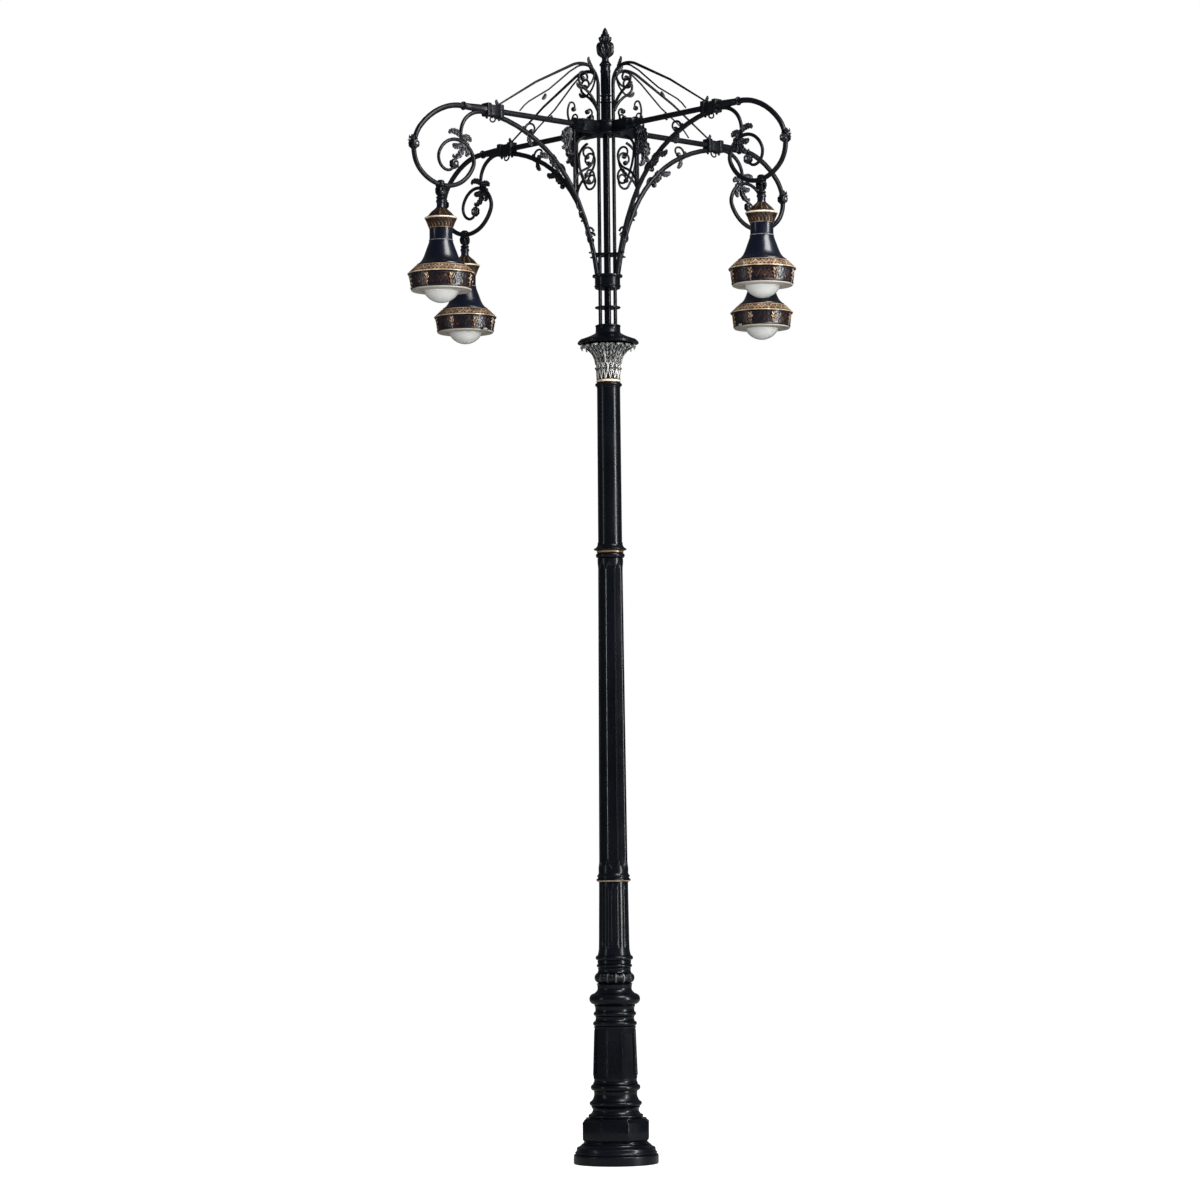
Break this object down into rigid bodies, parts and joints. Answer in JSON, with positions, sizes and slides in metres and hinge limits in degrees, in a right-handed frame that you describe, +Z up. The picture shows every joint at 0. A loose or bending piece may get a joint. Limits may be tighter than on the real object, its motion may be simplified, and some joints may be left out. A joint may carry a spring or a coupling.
{
  "type": "street lamp post",
  "caption": "Ornamental cast-iron street lamp post with scrolled brackets, hanging bell lanterns with glass bowls, fluted shaft and an access door in its pedestal.",
  "frame": {"origin": "centre of the foot on the ground", "axes": "+Z up the post, +X along the first arm; the other arms follow every quarter turn"},
  "size_m": [2.725, 2.725, 6],
  "materials": {
    "iron_enamel": "gloss black enamel on cast and wrought iron",
    "bell_enamel": "gloss navy-black stoved enamel",
    "drum_enamel": "satin maroon-black enamel with gilt ornament",
    "pewter": "antique silver paint rubbed back to dark recesses",
    "leaf_pewter": "dark pewter finish",
    "antique_gold": "aged brass",
    "pin_steel": "turned stainless steel",
    "spun_aluminium": "matt anodised reflector",
    "grey_enamel": "pale grey powder coat",
    "opal_glass": "lightly frosted glass",
    "lamp_glass": "opal lamp envelope",
    "porcelain": "white glazed porcelain",
    "board_laminate": "brown phenolic board",
    "fuse_plastic": "pale grey moulded plastic"
  },
  "bodies": {
    "root": {"foot": "iron_enamel", "plinth": "iron_enamel", "pedestal": "iron_enamel", "door_hinge_pins": "pin_steel", "fuse_board": "board_laminate", "fuse_box": "fuse_plastic", "upper_moulding": "iron_enamel", "lower_shaft": "iron_enamel", "fluted_shaft": "iron_enamel", "upper_shaft": "iron_enamel", "capital": "pewter", "stage_collar": "iron_enamel", "centre_pipe": "iron_enamel", "stage_band": "iron_enamel", "hub": "iron_enamel", "finial": "iron_enamel", "stage_bars": "iron_enamel", "beam_1": "iron_enamel", "beam_2": "iron_enamel", "beam_3": "iron_enamel", "beam_4": "iron_enamel", "arch_rib_1": "iron_enamel", "arch_rib_2": "iron_enamel", "arch_rib_3": "iron_enamel", "arch_rib_4": "iron_enamel", "arm_clamps": "iron_enamel", "scroll_work": "iron_enamel", "acanthus_leaves": "leaf_pewter", "hanger_forks": "iron_enamel", "hanger_pins": "pin_steel"},
    "door": {"access_door": "iron_enamel"},
    "lock": {"door_lock": "antique_gold"},
    "lantern_1": {"bell_1": "bell_enamel", "drum_1": "drum_enamel", "reflector_1": "spun_aluminium", "lampholder_1": "porcelain", "lamp_1": "lamp_glass"},
    "bowl_1": {"bowl_ring_1": "grey_enamel", "glass_bowl_1": "opal_glass"},
    "lantern_2": {"bell_2": "bell_enamel", "drum_2": "drum_enamel", "reflector_2": "spun_aluminium", "lampholder_2": "porcelain", "lamp_2": "lamp_glass"},
    "bowl_2": {"bowl_ring_2": "grey_enamel", "glass_bowl_2": "opal_glass"},
    "lantern_3": {"bell_3": "bell_enamel", "drum_3": "drum_enamel", "reflector_3": "spun_aluminium", "lampholder_3": "porcelain", "lamp_3": "lamp_glass"},
    "bowl_3": {"bowl_ring_3": "grey_enamel", "glass_bowl_3": "opal_glass"},
    "lantern_4": {"bell_4": "bell_enamel", "drum_4": "drum_enamel", "reflector_4": "spun_aluminium", "lampholder_4": "porcelain", "lamp_4": "lamp_glass"},
    "bowl_4": {"bowl_ring_4": "grey_enamel", "glass_bowl_4": "opal_glass"}
  },
  "joints": [
    {"name": "door_hinge", "type": "hinge", "parent": "root", "child": "door", "pos_m": [-0.05303, 0.1096, 0.57418], "axis": [0.0217, -0.0217, 0.9995], "range_deg": [-110, 0]},
    {"name": "lock_turn", "type": "hinge", "parent": "door", "child": "lock", "pos_m": [-0.08132, 0.07283, 0.574], "axis": [-0.7068, 0.7068, 0.0308], "range_deg": [-90, 0]},
    {"name": "lantern_swing_1", "type": "hinge", "parent": "root", "child": "lantern_1", "pos_m": [1.155, 0, 4.994], "axis": [0, 1, 0], "range_deg": [-15, 15]},
    {"name": "bowl_hinge_1", "type": "hinge", "parent": "lantern_1", "child": "bowl_1", "pos_m": [0.992, 0, 4.491], "axis": [0, 1, 0], "range_deg": [0, 90]},
    {"name": "lantern_swing_2", "type": "hinge", "parent": "root", "child": "lantern_2", "pos_m": [0, 1.155, 4.994], "axis": [-1, 0, 0], "range_deg": [-15, 15]},
    {"name": "bowl_hinge_2", "type": "hinge", "parent": "lantern_2", "child": "bowl_2", "pos_m": [0, 0.992, 4.491], "axis": [-1, 0, 0], "range_deg": [0, 90]},
    {"name": "lantern_swing_3", "type": "hinge", "parent": "root", "child": "lantern_3", "pos_m": [-1.155, 0, 4.994], "axis": [0, -1, 0], "range_deg": [-15, 15]},
    {"name": "bowl_hinge_3", "type": "hinge", "parent": "lantern_3", "child": "bowl_3", "pos_m": [-0.992, 0, 4.491], "axis": [0, -1, 0], "range_deg": [0, 90]},
    {"name": "lantern_swing_4", "type": "hinge", "parent": "root", "child": "lantern_4", "pos_m": [0, -1.155, 4.994], "axis": [1, 0, 0], "range_deg": [-15, 15]},
    {"name": "bowl_hinge_4", "type": "hinge", "parent": "lantern_4", "child": "bowl_4", "pos_m": [0, -0.992, 4.491], "axis": [1, 0, 0], "range_deg": [0, 90]}
  ]
}
